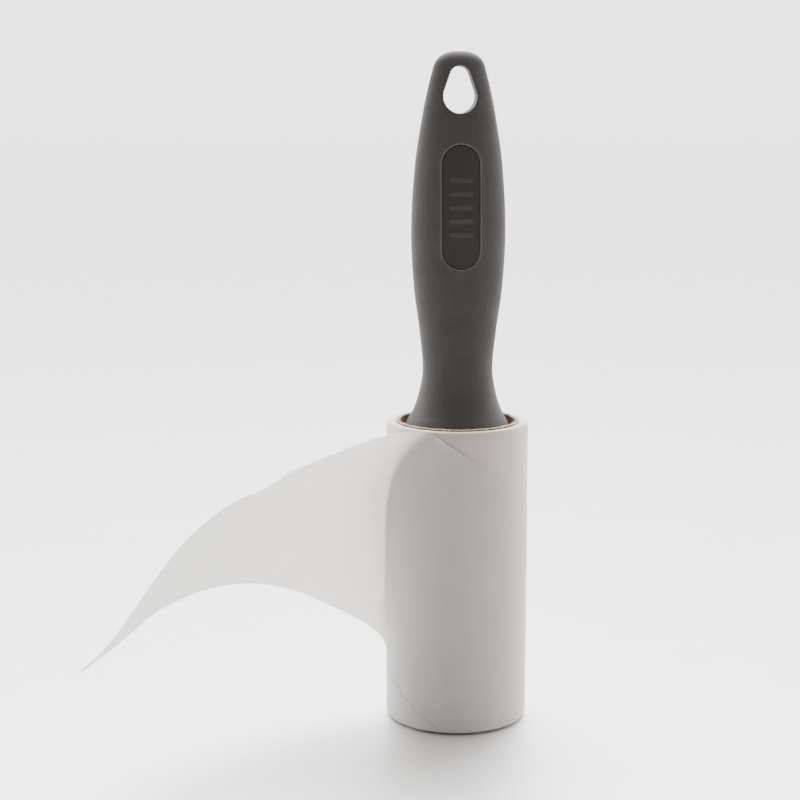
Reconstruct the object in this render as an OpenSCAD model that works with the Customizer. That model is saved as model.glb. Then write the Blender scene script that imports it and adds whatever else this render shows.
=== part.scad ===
// Lint roller: a moulded two-shell handle with a spindle, a free-turning arbor, and a refill of
// spiral-cut adhesive sheets on a kraft paper core. It stands on the refill's lower end.
// Millimetres. The origin is on the turning axis at the standing end, +Z runs up the handle,
// and the badge faces -Y.

/* [Handle] */
// Height of the handle's top above the standing end
handle_top = 224.2; // [222:0.1:228]
// Radius of the bell's rim, which hangs inside the core's mouth
bell_r = 18.4; // [17.8:0.05:18.5]
// Height of the bell's rim
bell_z = 99.4; // [98.5:0.1:100]
// Wall of the two shells
shell_wall = 2.2; // [1.8:0.1:2.6]
// Fullness of the cross-section, where 2 is an ellipse
section_power = 2.25; // [2:0.05:2.8]
// Radius of the hang hole's lower, wider end
hang_r = 5.5; // [5:0.1:5.8]
// Radius of the hang hole's upper end
hang_top_r = 3.4; // [3:0.1:4]

/* [Badge] */
// Width of the oval badge recess
badge_w = 12.5; // [10:0.5:14]
// Length of the oval badge recess
badge_l = 40.3; // [36:0.5:44]
// Height of the badge's centre
badge_z = 174.2; // [170:0.5:177]
// Number of raised grip bars on the badge
badge_bars = 5; // [3:1:7]

/* [Spindle and arbor] */
// Radius of the spindle
spindle_r = 4; // [3.5:0.1:4.5]
// Radial running clearance between the spindle and the arbor's bearings
run_gap = 0.06; // [0.02:0.01:0.09]
// Outer radius of the arbor's cage
arbor_r = 18.4; // [18:0.1:18.5]
// Wall of the arbor's cage
arbor_wall = 1.4; // [1.2:0.1:1.8]
// Number of spring fingers in the cage
fingers = 3; // [2:1:4]

/* [Refill] */
// Width of the adhesive sheets, along the roll
sheet_w = 101.6; // [100:0.1:102]
// Length of one sheet, round the roll
sheet_l = 151.4; // [151:0.1:152]
// Radius of the wound sheets
roll_r = 24; // [23:0.1:25]
// Thickness of one sheet with its adhesive
web_t = 0.08; // [0.06:0.01:0.1]
// Bore radius of the kraft core
core_r = 19.05; // [19:0.05:19.2]
// Thickness of each of the core's two plies
ply_t = 0.83; // [0.7:0.01:0.9]
// Length of the core, a little more than the sheets' width
core_l = 102.8; // [102.4:0.1:103.2]

/* [Hidden] */

$fn = 96;
eps = 0.01;

handle_grey = [0.27, 0.265, 0.26];
badge_grey = [0.22, 0.215, 0.21];
nylon_white = [0.86, 0.85, 0.81];
steel = [0.72, 0.73, 0.75];
kraft = [0.70, 0.57, 0.42];
paper_white = [0.90, 0.89, 0.87];

// ---------- outline of the handle ----------

// Height, half-width and half-depth at the stations that shape the handle, rim to hang hole
STATIONS = [
    [bell_z, bell_r, bell_r],
    [102.6, 16.6, 16.3],
    [106, 14.75, 14.25],
    [112, 12.85, 12.25],
    [120, 11.68, 10.9],
    [134, 12.95, 11.15],
    [147, 14.67, 11.9],
    [166, 15.62, 12.2],
    [188, 14.38, 10.3],
    [205, 11.78, 7.6],
    [212, 10.33, 6.25],
    [218.6, 8.68, 5.05]
];
last = len(STATIONS) - 1;
top_z = STATIONS[last][0];
body_steps = 3;
cap_steps = 7;
cap_end = 88;
crown_power = 2.6;
sides = 32;

// Slope of a station's column c, from its two neighbours
function slope(i, c) =
    let (a = STATIONS[max(0, i - 1)], b = STATIONS[min(last, i + 1)])
    (b[c] - a[c]) / (b[0] - a[0]);
// Smooth value of column c between stations i and i + 1, at u from 0 to 1
function between(i, u, c) =
    let (a = STATIONS[i], b = STATIONS[i + 1], h = b[0] - a[0])
    a[c] * (1 + 2 * u) * pow(1 - u, 2) + b[c] * u * u * (3 - 2 * u)
    + h * (slope(i, c) * u * pow(1 - u, 2) - slope(i + 1, c) * u * u * (1 - u));
// Height, half-width and half-depth of every ring, rim to crown
RINGS = [
    for (i = [0 : last - 1], k = [0 : body_steps - 1])
        let (u = k / body_steps, a = STATIONS[i][0], b = STATIONS[i + 1][0])
        [a + u * (b - a), between(i, u, 1), between(i, u, 2)],
    for (k = [0 : cap_steps])
        let (a = cap_end * k / cap_steps)
        let (rise = (handle_top - top_z) * pow(sin(a), 2 / crown_power))
        let (shrink = pow(cos(a), 2 / crown_power))
        [top_z + rise, (STATIONS[last][1] + slope(last, 1) * rise) * shrink,
            (STATIONS[last][2] + slope(last, 2) * rise) * shrink]
];

// Point of a ring's rounded outline at angle a, where 180 to 360 degrees is the front
function rounded(v) = sign(v) * pow(abs(v), 2 / section_power);
function ring_point(r, inset, a) =
    [(r[1] - inset) * rounded(cos(a)), (r[2] - inset) * rounded(sin(a)), r[0]];

// The handle's solid from one height to another, shrunk by inset, over a sweep of 180 or 360 degrees
module handle_form(start, sweep, inset, low, high) {
    rings = [for (r = RINGS) if (r[0] >= low - eps && r[0] <= high + eps) r];
    steps = sides * sweep / 360;
    n = sweep == 360 ? steps : steps + 1;
    points = [for (r = rings, k = [0 : n - 1]) ring_point(r, inset, start + sweep * k / steps)];
    top = len(rings) - 1;
    walls = [
        for (j = [0 : top - 1], k = [0 : n - 1])
            let (a = j * n + k, b = j * n + (k + 1) % n)
            each [[a, a + n, b + n], [a, b + n, b]]
    ];
    floor_face = [for (k = [0 : n - 1]) k];
    crown_face = [for (k = [n - 1 : -1 : 0]) top * n + k];
    polyhedron(points, concat(walls, [floor_face, crown_face]));
}

// ---------- handle shells, badge and spindle ----------

seat_top = 112;
cavity_top = 199;
clamp_gap = 0.05;
flange_z = 104;
flange_t = 5;
flange_r = 8;
tail_top = 117;
peg_r = 1.5;
boss_r = 3;
peg_l = 3;
peg_head = 0.5;
// Height of each boss pair and how far each boss reaches from the parting plane into its shell
BOSSES = [[127, 9.4], [150, 10.2], [196, 7.6]];

hang_z = 209.7;
hang_rise = 6.3;

// Drop-shaped hang hole, as one prism through the handle
module hang_hole() {
    lean = asin((hang_r - hang_top_r) / hang_rise);
    low = [hang_r * cos(lean), hang_r * sin(lean)];
    high = [hang_top_r * cos(lean), hang_rise + hang_top_r * sin(lean)];
    translate([0, 0, hang_z])
        rotate([90, 0, 0])
            linear_extrude(3 * bell_r, center = true) {
                circle(hang_r);
                translate([0, hang_rise]) circle(hang_top_r);
                polygon([low, high, [-high[0], high[1]], [-low[0], low[1]]]);
            }
}

recess_r = 197;
recess_peak_z = 161;
recess_peak_y = 10.96;
badge_drop = 0.4;
bar_drop = 0.1;
badge_gap = 0.1;
seat_gap = 0.05;

// Upright oval prism that runs forward from the handle's middle
module oval_prism(width, length) {
    translate([0, 0, badge_z])
        rotate([90, 0, 0])
            linear_extrude(2 * bell_r) {
                square([width, length - width], center = true);
                for (end = [-1, 1]) translate([0, end * (length - width) / 2]) circle(width / 2);
            }
}
// Everything behind the gently curved floor of the badge recess, moved forward by lift
module recess_floor(lift) {
    translate([0, recess_r - recess_peak_y, recess_peak_z])
        rotate([0, 90, 0])
            cylinder(r = recess_r + lift, h = 4 * badge_w, center = true, $fn = 256);
}

// Pocket that clamps the spindle's hexagonal flange and its tail
module spindle_seat() {
    translate([0, 0, bell_z - 1])
        cylinder(r = spindle_r + clamp_gap, h = tail_top - bell_z + 1 + clamp_gap);
    translate([0, 0, flange_z - clamp_gap])
        cylinder(r = flange_r + clamp_gap, h = flange_t + 2 * clamp_gap, $fn = 6);
}

// Bosses across the cavity that meet at the parting plane, side -1 at the front and 1 at the rear
module peg_bosses(side) {
    for (b = BOSSES)
        translate([0, 0, b[0]])
            rotate([side * -90, 0, 0]) cylinder(r = boss_r, h = b[1]);
}

module handle_front_shell() {
    color(handle_grey) difference() {
        union() {
            difference() {
                handle_form(180, 180, 0, bell_z, handle_top);
                handle_form(0, 360, shell_wall, seat_top, cavity_top);
                hang_hole();
                difference() {
                    oval_prism(badge_w, badge_l);
                    recess_floor(0);
                }
            }
            peg_bosses(-1);
        }
        spindle_seat();
        for (b = BOSSES)
            translate([0, eps, b[0]])
                rotate([90, 0, 0]) cylinder(r = peg_r + clamp_gap, h = peg_l + peg_head);
    }
}

module handle_rear_shell() {
    color(handle_grey) difference() {
        union() {
            difference() {
                handle_form(0, 180, 0, bell_z, handle_top);
                handle_form(0, 360, shell_wall, seat_top, cavity_top);
                hang_hole();
            }
            peg_bosses(1);
            for (b = BOSSES)
                translate([0, 1, b[0]]) rotate([90, 0, 0]) cylinder(r = peg_r, h = peg_l + 1);
        }
        spindle_seat();
    }
}

// The plate fills the recess to badge_drop below the handle's surface, and its bars to bar_drop
module badge_plate() {
    bar_pitch = 4.4;
    bar_w = 1.5;
    bar_l = badge_w - 5;
    color(badge_grey) difference() {
        union() {
            intersection() {
                oval_prism(badge_w - 2 * badge_gap, badge_l - 2 * badge_gap);
                handle_form(180, 180, badge_drop, bell_z, handle_top);
            }
            intersection() {
                for (k = [0 : badge_bars - 1])
                    translate([0, -bell_r, badge_z + (k - (badge_bars - 1) / 2) * bar_pitch])
                        cube([bar_l, 2 * bell_r, bar_w], center = true);
                handle_form(180, 180, bar_drop, bell_z, handle_top);
            }
        }
        recess_floor(seat_gap);
    }
}

spindle_end = 6.4;
pilot_r = 1.25;
pilot_l = 13;

module spindle() {
    color(nylon_white) difference() {
        union() {
            translate([0, 0, spindle_end]) cylinder(r = spindle_r, h = tail_top - spindle_end);
            translate([0, 0, flange_z]) cylinder(r = flange_r, h = flange_t, $fn = 6);
        }
        translate([0, 0, spindle_end - eps]) cylinder(r = pilot_r, h = pilot_l);
    }
}

// ---------- arbor and what holds it on the spindle ----------

cage_low = 2.5;
cage_high = 98.2;
hub_r = 7;
hub_low = 6.5;
bearing_l = 12;
relief_r = 5.2;
top_disc_t = 2.4;
web_w = 2;
web_low = 9;
washer_gap = 0.1;
thrust_r = 9;
bearing_r = spindle_r + run_gap;

module thrust_washer() {
    color(nylon_white) translate([0, 0, cage_high + washer_gap])
        difference() {
            cylinder(r = thrust_r, h = bell_z - cage_high - 2 * washer_gap);
            translate([0, 0, -1]) cylinder(r = bearing_r, h = bell_z - cage_high + 2);
        }
}

finger_low = 28;
finger_high = 74;
finger_w = 12;
slot_w = 1.6;
bump_r = 18.9;
bump_z = finger_high - 4;
bump_round = 5;

// U-shaped slot that frees one spring finger, open towards +X
module finger_slot() {
    span = finger_high - finger_low;
    for (side = [-1, 1])
        translate([arbor_r - 4, side * finger_w / 2 - slot_w / 2, finger_low]) cube([8, slot_w, span]);
    translate([arbor_r - 4, -finger_w / 2, finger_high - slot_w]) cube([8, finger_w, slot_w]);
}

module arbor_cage() {
    lead_in = 1;
    inner_r = arbor_r - arbor_wall;
    color(nylon_white) {
        difference() {
            rotate_extrude() polygon([
                [inner_r, cage_low], [arbor_r - lead_in, cage_low], [arbor_r, cage_low + 2 * lead_in],
                [arbor_r, cage_high], [bearing_r, cage_high], [bearing_r, cage_high - bearing_l],
                [hub_r, cage_high - bearing_l], [hub_r, cage_high - top_disc_t],
                [inner_r, cage_high - top_disc_t]
            ]);
            for (k = [0 : fingers - 1]) rotate([0, 0, 360 * k / fingers]) finger_slot();
        }
        rotate_extrude() polygon([
            [bearing_r, hub_low], [hub_r, hub_low], [hub_r, cage_high - bearing_l],
            [relief_r, cage_high - bearing_l], [relief_r, hub_low + bearing_l],
            [bearing_r, hub_low + bearing_l]
        ]);
        for (k = [0 : fingers - 1])
            rotate([0, 0, 360 * (k + 0.5) / fingers])
                translate([hub_r - 0.4, -web_w / 2, web_low])
                    cube([inner_r - hub_r + 0.9, web_w, cage_high - top_disc_t - web_low + 0.5]);
        for (k = [0 : fingers - 1])
            rotate([0, 0, 360 * k / fingers])
                intersection() {
                    translate([bump_r - bump_round, 0, bump_z]) sphere(bump_round);
                    translate([arbor_r - 0.6, -bump_round, bump_z - bump_round])
                        cube([2, 2 * bump_round, 1.4 * bump_round]);
                }
    }
}

cap_t = 2.4;
plug_l = 4.6;
plug_wall = 1.2;
plug_gap = 0.05;

module arbor_end_cap() {
    plug_r = arbor_r - arbor_wall - plug_gap;
    color(handle_grey) rotate_extrude() polygon([
        [0, 0], [arbor_r - 0.6, 0], [arbor_r - 0.1, 0.5], [arbor_r - 0.1, cap_t], [plug_r, cap_t],
        [plug_r, cap_t + plug_l], [plug_r - plug_wall, cap_t + plug_l],
        [plug_r - plug_wall, cap_t - 0.8], [0, cap_t - 0.8]
    ]);
}

washer_r = 6.4;
washer_t = 0.9;
head_r = 2.9;
head_h = 2;
shank_r = 1.2;
shank_l = 12;

module retaining_washer() {
    color(steel) translate([0, 0, spindle_end - washer_t])
        difference() {
            cylinder(r = washer_r, h = washer_t);
            translate([0, 0, -1]) cylinder(r = shank_r + 0.3, h = washer_t + 2);
        }
}

module retaining_screw() {
    head_z = spindle_end - washer_t - head_h;
    drive_w = 0.7;
    drive_l = 3.2;
    color(steel) difference() {
        union() {
            translate([0, 0, head_z]) cylinder(r1 = head_r - 0.5, r2 = head_r, h = head_h);
            translate([0, 0, head_z + head_h - eps]) cylinder(r = shank_r, h = shank_l);
        }
        for (turn = [0, 90])
            rotate([0, 0, turn])
                translate([0, 0, head_z]) cube([drive_l, drive_w, head_h], center = true);
    }
}

// ---------- refill ----------

glue_gap = 0.02;
wrap_gap = 0.06;
sheet_low = (core_l - sheet_w) / 2;
sheet_high = sheet_low + sheet_w;
inner_ply_r = core_r + ply_t;
outer_ply_r = inner_ply_r + glue_gap + ply_t;

module sleeve(inner, outer, low, high) {
    rotate_extrude() translate([inner, low]) square([outer - inner, high - low]);
}

module core_inner_ply() { color(kraft) sleeve(core_r, inner_ply_r, 0, core_l); }
module core_outer_ply() { color(kraft) sleeve(inner_ply_r + glue_gap, outer_ply_r, 0, core_l); }

top_sheet_r = roll_r - web_t;
next_sheet_r = top_sheet_r - wrap_gap - web_t;

module sheet_stack() {
    color(paper_white) sleeve(outer_ply_r + glue_gap, next_sheet_r - glue_gap, sheet_low, sheet_high);
}
module next_sheet() {
    color(paper_white) sleeve(next_sheet_r, next_sheet_r + web_t, sheet_low, sheet_high);
}

// Angles round the roll are from the front, positive towards +X. The cut's pitch follows from the
// sheet's length: the ends of one sheet meet again after one turn.
tear_top_turn = -24.6;
lead_low_turn = -15.3;
peel_low_turn = -92.8;
per_degree = PI * roll_r / 180;
cut_drop = sheet_w / (sheet_l + (lead_low_turn - tear_top_turn) * per_degree);

// Height of the perforated cut that ends the top sheet, and of the cut that begins it
function tear_height(turn) = sheet_high - cut_drop * (turn - tear_top_turn) * per_degree;
function lead_height(turn) = sheet_low + cut_drop * (lead_low_turn - turn) * per_degree;

peel_low = lead_height(peel_low_turn);
peel_bow = 3.6;
// Turn of the peel line at height z: near upright below, then sweeping over to the tear's corner
function peel_turn(z) =
    let (share = (z - peel_low) / (sheet_high - peel_low))
    peel_low_turn + (tear_top_turn - peel_low_turn) * pow(share, peel_bow);
function on_roll(turn, r, z) = [r * sin(turn), -r * cos(turn), z];

// Closed thin solid between two grids of points with the same rows and columns
module thin_solid(inner, outer) {
    rows = len(inner);
    cols = len(inner[0]);
    count = rows * cols;
    points = [for (g = [inner, outer], row = g, p = row) p];
    function id(s, j, k) = s * count + j * cols + k;
    skins = [
        for (j = [0 : rows - 2], k = [0 : cols - 2]) each [
            [id(1, j, k), id(1, j + 1, k), id(1, j + 1, k + 1)],
            [id(1, j, k), id(1, j + 1, k + 1), id(1, j, k + 1)],
            [id(0, j, k), id(0, j + 1, k + 1), id(0, j + 1, k)],
            [id(0, j, k), id(0, j, k + 1), id(0, j + 1, k + 1)]
        ]
    ];
    ends = [
        for (k = [0 : cols - 2]) each [
            [id(0, 0, k), id(1, 0, k), id(1, 0, k + 1)],
            [id(0, 0, k), id(1, 0, k + 1), id(0, 0, k + 1)],
            [id(0, rows - 1, k), id(1, rows - 1, k + 1), id(1, rows - 1, k)],
            [id(0, rows - 1, k), id(0, rows - 1, k + 1), id(1, rows - 1, k + 1)]
        ]
    ];
    sides_of = [
        for (j = [0 : rows - 2]) each [
            [id(0, j, 0), id(1, j + 1, 0), id(1, j, 0)],
            [id(0, j, 0), id(0, j + 1, 0), id(1, j + 1, 0)],
            [id(0, j, cols - 1), id(1, j, cols - 1), id(1, j + 1, cols - 1)],
            [id(0, j, cols - 1), id(1, j + 1, cols - 1), id(0, j + 1, cols - 1)]
        ]
    ];
    polyhedron(points, concat(skins, ends, sides_of));
}

// Height of the peel line at a turn between its lower and its upper end
function peel_height(turn) =
    let (share = (turn - peel_low_turn) / (tear_top_turn - peel_low_turn))
    peel_low + (sheet_high - peel_low) * pow(share, 1 / peel_bow);

peel_cols = 22;
round_cols = 74;
col_crowding = 1.6;
seam_gap = 0.15;
wrap_last_turn = lead_low_turn + 358;

// Turns of the columns across the wound part, first along the peel line and then round the roll
WRAP_TURNS = [
    for (k = [1 : peel_cols])
        peel_low_turn + (tear_top_turn - peel_low_turn) * pow(k / peel_cols, col_crowding),
    for (k = [1 : round_cols]) tear_top_turn + (wrap_last_turn - tear_top_turn) * k / round_cols
];
function wrap_low(turn) = max(sheet_low, lead_height(turn));
function wrap_high(turn) =
    turn < tear_top_turn ? peel_height(turn)
    : turn < peel_low_turn + 360 ? tear_height(turn)
    : lead_height(turn - 360) - seam_gap;
function wrap_grid(r) = [
    [for (turn = WRAP_TURNS) on_roll(turn, r, wrap_low(turn))],
    [for (turn = WRAP_TURNS) on_roll(turn, r, wrap_high(turn))]
];

module top_sheet() {
    color(paper_white) thin_solid(wrap_grid(top_sheet_r), wrap_grid(roll_r));
}

// The lifted end of the top sheet: pairs of points on its top edge and on its slanting cut edge,
// from the fold beside the roll to the tip. The sheet is straight along the line joining each pair.
LIFT = [
    [[-27.5, -21.5, 100.6], [-50.3, 5, 40.2]],
    [[-63.1, -27.5, 87.3], [-74.1, -8.5, 48.7]],
    [[-87.7, -43.5, 73.4], [-95.4, -29.5, 47.9]],
    [[-109.2, -64, 47.8], [-109.3, -57.5, 43.3]],
    [[-117.6, -74.5, 41.4], [-118, -74, 40.4]]
];
lift_last = len(LIFT) - 1;
flap_t = 0.2;
flap_rows = 4;
flap_cols = 7;

function lift_at(i, e) =
    i < 0 ? on_roll(e == 0 ? tear_top_turn : peel_low_turn, roll_r, e == 0 ? sheet_high : peel_low)
    : i > lift_last ? 2 * LIFT[lift_last][e] - LIFT[lift_last - 1][e]
    : LIFT[i][e];
// Point on edge e of the flap at t, counted in stations, on a smooth curve from the peel line's end
function flap_edge(e, t) =
    let (i = min(lift_last - 1, floor(t)), u = t - i)
    let (a = lift_at(i - 1, e), b = lift_at(i, e), c = lift_at(i + 1, e), d = lift_at(i + 2, e))
    b + 0.5 * (c - a) * u + 0.5 * (2 * a - 5 * b + 4 * c - d) * u * u
    + 0.5 * (3 * b - a - 3 * c + d) * u * u * u;
function flap_point(t, v) = (1 - v) * flap_edge(1, t) + v * flap_edge(0, t);
function unit(p) = p / norm(p);
function flap_along(t, v) =
    let (low = max(0, t - 0.01), high = min(lift_last, t + 0.01))
    flap_point(high, v) - flap_point(low, v);
function flap_normal(t, v) = unit(cross(flap_along(t, v), flap_edge(0, t) - flap_edge(1, t)));
function flap_grid(offset) = [
    for (j = [0 : flap_rows])
        let (v = j / flap_rows)
        [for (k = [0 : lift_last * flap_cols])
            let (t = k / flap_cols)
            flap_point(t, v) + offset * flap_normal(t, v)]
];

module sheet_flap() {
    color(paper_white) thin_solid(flap_grid(-flap_t / 2), flap_grid(flap_t / 2));
}

fold_rows = 10;
fold_cols = 12;
fold_clear = 0.35;
fold_gap = 0.3;
leave_low = 7.5;
leave_high = 4;
join_share = 0.5;

// Point of the fold at v up the peel line and u of the way out to the flap, on a curve that leaves
// the roll along its surface and meets the flap in the flap's own direction
function fold_point(v, u) =
    let (z = peel_low + (sheet_high - peel_low) * v, turn = peel_turn(z))
    let (a = on_roll(turn, roll_r + fold_clear, z), along = unit(flap_along(0, v)))
    let (leave = leave_low + (leave_high - leave_low) * v)
    let (b = a + leave * [-cos(turn), -sin(turn), (1 - v) * cut_drop])
    let (d = flap_point(0, v) - fold_gap * along)
    let (c = d - join_share * norm(d - a) * along, w = 1 - u)
    w * w * w * a + 3 * w * w * u * b + 3 * w * u * u * c + u * u * u * d;
function fold_normal(v, u) =
    let (left = max(0, u - 0.02), right = min(1, u + 0.02))
    let (low = max(0, v - 0.02), high = min(1, v + 0.02))
    let (outward = fold_point(v, right) - fold_point(v, left))
    unit(cross(outward, fold_point(high, u) - fold_point(low, u)));
function fold_grid(offset) = [
    for (j = [0 : fold_rows])
        [for (k = [0 : fold_cols])
            let (v = j / fold_rows, u = k / fold_cols)
            fold_point(v, u) + offset * fold_normal(v, u)]
];

module sheet_fold() {
    color(paper_white) thin_solid(fold_grid(-flap_t / 2), fold_grid(flap_t / 2));
}

handle_front_shell();
handle_rear_shell();
badge_plate();
spindle();
thrust_washer();
arbor_cage();
arbor_end_cap();
retaining_washer();
retaining_screw();
core_inner_ply();
core_outer_ply();
sheet_stack();
next_sheet();
top_sheet();
sheet_fold();
sheet_flap();
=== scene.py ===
"""Looks for the lint roller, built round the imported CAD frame. Lengths in the form code are in
millimetres, as in the CAD source, and every mesh is scaled to metres when it is made."""

import math

import bmesh
import bpy
import numpy as np
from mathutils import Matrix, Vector, geometry


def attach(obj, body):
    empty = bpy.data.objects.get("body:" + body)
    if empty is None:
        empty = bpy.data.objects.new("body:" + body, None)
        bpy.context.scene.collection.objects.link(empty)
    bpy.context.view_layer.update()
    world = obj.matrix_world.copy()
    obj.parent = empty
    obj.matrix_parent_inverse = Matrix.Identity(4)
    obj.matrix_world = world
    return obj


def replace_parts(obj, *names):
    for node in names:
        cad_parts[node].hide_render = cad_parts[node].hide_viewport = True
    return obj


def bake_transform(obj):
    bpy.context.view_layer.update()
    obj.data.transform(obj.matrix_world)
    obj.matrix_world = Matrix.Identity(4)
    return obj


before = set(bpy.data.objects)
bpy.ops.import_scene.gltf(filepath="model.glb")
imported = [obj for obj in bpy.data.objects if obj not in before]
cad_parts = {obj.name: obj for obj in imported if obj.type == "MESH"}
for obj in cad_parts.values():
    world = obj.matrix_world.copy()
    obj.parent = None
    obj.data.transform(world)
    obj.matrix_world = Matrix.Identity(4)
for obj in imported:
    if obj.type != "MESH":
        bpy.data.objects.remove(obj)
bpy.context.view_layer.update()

# ---------- sizes shared with the CAD source ----------

# The handle's two ends, and its outline as height, half-width and half-depth.
BELL_Z, HANDLE_TOP = 99.4, 224.2
STATIONS = np.array([
    [BELL_Z, 18.4, 18.4], [102.6, 16.6, 16.3], [106, 14.75, 14.25], [112, 12.85, 12.25],
    [120, 11.68, 10.9], [134, 12.95, 11.15], [147, 14.67, 11.9], [166, 15.62, 12.2],
    [188, 14.38, 10.3], [205, 11.78, 7.6], [212, 10.33, 6.25], [218.6, 8.68, 5.05],
])
# How square its sections and its crown are. 2 is an ellipse.
POWER, CROWN_POWER = 2.25, 2.6
# The hang hole's low circle, and its smaller top circle above it.
HANG_Z, HANG_RISE, HANG_R, HANG_TOP_R = 209.7, 6.3, 5.5, 3.4
# The badge, its recess's curved floor, and how deep the plate and its bars lie.
BADGE_W, BADGE_L, BADGE_Z = 12.5, 40.3, 174.2
FLOOR_R, FLOOR_PEAK_Z, FLOOR_PEAK_Y = 197.0, 161.0, 10.96
BADGE_DROP, BAR_DROP = 0.25, 0.05
# One sheet, the roll that it lies on, the paper's thickness and the play under it.
SHEET_W, SHEET_L, ROLL_R, WEB_T, WRAP_GAP = 101.6, 151.4, 24.0, 0.08, 0.06
# The core's bore, its two plies, its length and the play at each glue line.
CORE_R, PLY_T, CORE_L, GLUE_GAP = 19.05, 0.83, 102.8, 0.02
SHEET_LOW = (CORE_L - SHEET_W) / 2
SHEET_HIGH = SHEET_LOW + SHEET_W
# Where the tear meets the roll's top end, where the lead cut meets its low end, and where the
# peel line meets the lead cut, in degrees from the front, and how strongly the peel line bows.
TEAR_TOP, LEAD_LOW, PEEL_LOW, PEEL_BOW = -24.6, -15.3, -92.8, 3.6
PER_DEGREE = math.pi * ROLL_R / 180
CUT_DROP = SHEET_W / (SHEET_L + (LEAD_LOW - TEAR_TOP) * PER_DEGREE)
# Stations of the lifted end, each as its top edge and its low edge, and how the fold leads there.
LIFT = np.array([
    [[-27.5, -21.5, 100.6], [-50.3, 5, 40.2]], [[-63.1, -27.5, 87.3], [-74.1, -8.5, 48.7]],
    [[-87.7, -43.5, 73.4], [-95.4, -29.5, 47.9]], [[-109.2, -64, 47.8], [-109.3, -57.5, 43.3]],
    [[-117.6, -74.5, 41.4], [-118, -74, 40.4]],
])
LEAVE_LOW, LEAVE_HIGH, JOIN_SHARE = 7.5, 4.0, 0.5

# ---------- materials ----------


class Paint:
    """One Principled material and short calls that add the nodes behind it."""

    def __init__(self, name, color, roughness, **sockets):
        self.material = bpy.data.materials.new(name)
        self.material.use_nodes = True
        self.nodes = self.material.node_tree.nodes
        self.links = self.material.node_tree.links
        self.bsdf = self.nodes["Principled BSDF"]
        self.bsdf.inputs["Base Color"].default_value = (*color, 1)
        self.bsdf.inputs["Roughness"].default_value = roughness
        for key, value in sockets.items():
            self.bsdf.inputs[key.replace("_", " ")].default_value = value
        self.place = self.nodes.new("ShaderNodeTexCoord").outputs["Object"]
        self.bumped = None

    def stretched(self, x, y, z):
        node = self.nodes.new("ShaderNodeMapping")
        node.inputs["Scale"].default_value = (x, y, z)
        self.links.new(self.place, node.inputs["Vector"])
        return node.outputs["Vector"]

    def noise(self, scale, detail=3.0, rough=0.5, where=None, distortion=0.0):
        node = self.nodes.new("ShaderNodeTexNoise")
        node.inputs["Scale"].default_value = scale
        node.inputs["Detail"].default_value = detail
        node.inputs["Roughness"].default_value = rough
        node.inputs["Distortion"].default_value = distortion
        self.links.new(where or self.place, node.inputs["Vector"])
        return node.outputs["Fac"]

    def ramp(self, value, *stops):
        node = self.nodes.new("ShaderNodeValToRGB")
        ramp = node.color_ramp
        while len(ramp.elements) < len(stops):
            ramp.elements.new(0.5)
        for element, (at, color) in zip(ramp.elements, stops):
            element.position = at
            element.color = (*color, 1) if hasattr(color, "__len__") else (color, color, color, 1)
        self.links.new(value, node.inputs["Fac"])
        return node.outputs["Color"]

    def math(self, kind, *values):
        node = self.nodes.new("ShaderNodeMath")
        node.operation = kind
        for k, v in enumerate(values):
            if isinstance(v, (int, float)):
                node.inputs[k].default_value = v
            else:
                self.links.new(v, node.inputs[k])
        return node.outputs["Value"]

    def mix(self, fac, a, b, kind="MIX"):
        node = self.nodes.new("ShaderNodeMix")
        node.data_type = "RGBA"
        node.blend_type = kind
        if isinstance(fac, (int, float)):
            node.inputs["Factor"].default_value = fac
        else:
            self.links.new(fac, node.inputs["Factor"])
        for key, v in (("A", a), ("B", b)):
            socket = [s for s in node.inputs if s.name == key and s.type == "RGBA"][0]
            if isinstance(v, tuple):
                socket.default_value = (*v, 1)
            else:
                self.links.new(v, socket)
        return [s for s in node.outputs if s.type == "RGBA"][0]

    def axes(self):
        node = self.nodes.new("ShaderNodeSeparateXYZ")
        self.links.new(self.place, node.inputs["Vector"])
        return node.outputs["X"], node.outputs["Y"], node.outputs["Z"]

    def radius(self):
        x, y, _ = self.axes()
        squares = [self.math("MULTIPLY", value, value) for value in (x, y)]
        return self.math("SQRT", self.math("ADD", *squares))

    def color(self, value):
        self.links.new(value, self.bsdf.inputs["Base Color"])

    def roughness(self, value):
        self.links.new(value, self.bsdf.inputs["Roughness"])

    def bump(self, height, distance_mm, strength=1.0):
        node = self.nodes.new("ShaderNodeBump")
        node.inputs["Distance"].default_value = distance_mm / 1000
        node.inputs["Strength"].default_value = strength
        self.links.new(height, node.inputs["Height"])
        if self.bumped is not None:
            self.links.new(self.bumped, node.inputs["Normal"])
        self.bumped = node.outputs["Normal"]
        self.links.new(self.bumped, self.bsdf.inputs["Normal"])


def moulded(name, dark, light, roughness, grain_mm, grain=0.6):
    """Moulded plastic: faint flow mottling and a fine spark-eroded grain."""
    paint = Paint(name, light, roughness, Specular_IOR_Level=0.24)
    flow = paint.noise(55, 4, 0.55)
    fine = paint.noise(3200, 2, 0.6)
    tone = paint.ramp(flow, (0.3, dark), (0.75, light))
    speck = paint.ramp(fine, (0.35, 0.82), (0.65, 1.12))
    paint.color(paint.mix(0.55, tone, speck, "MULTIPLY"))
    paint.roughness(paint.ramp(paint.noise(140, 3), (0.3, roughness - 0.05), (0.7, roughness + 0.06)))
    paint.bump(paint.noise(2600, 2, 0.7), grain_mm, grain)
    return paint.material


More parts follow.
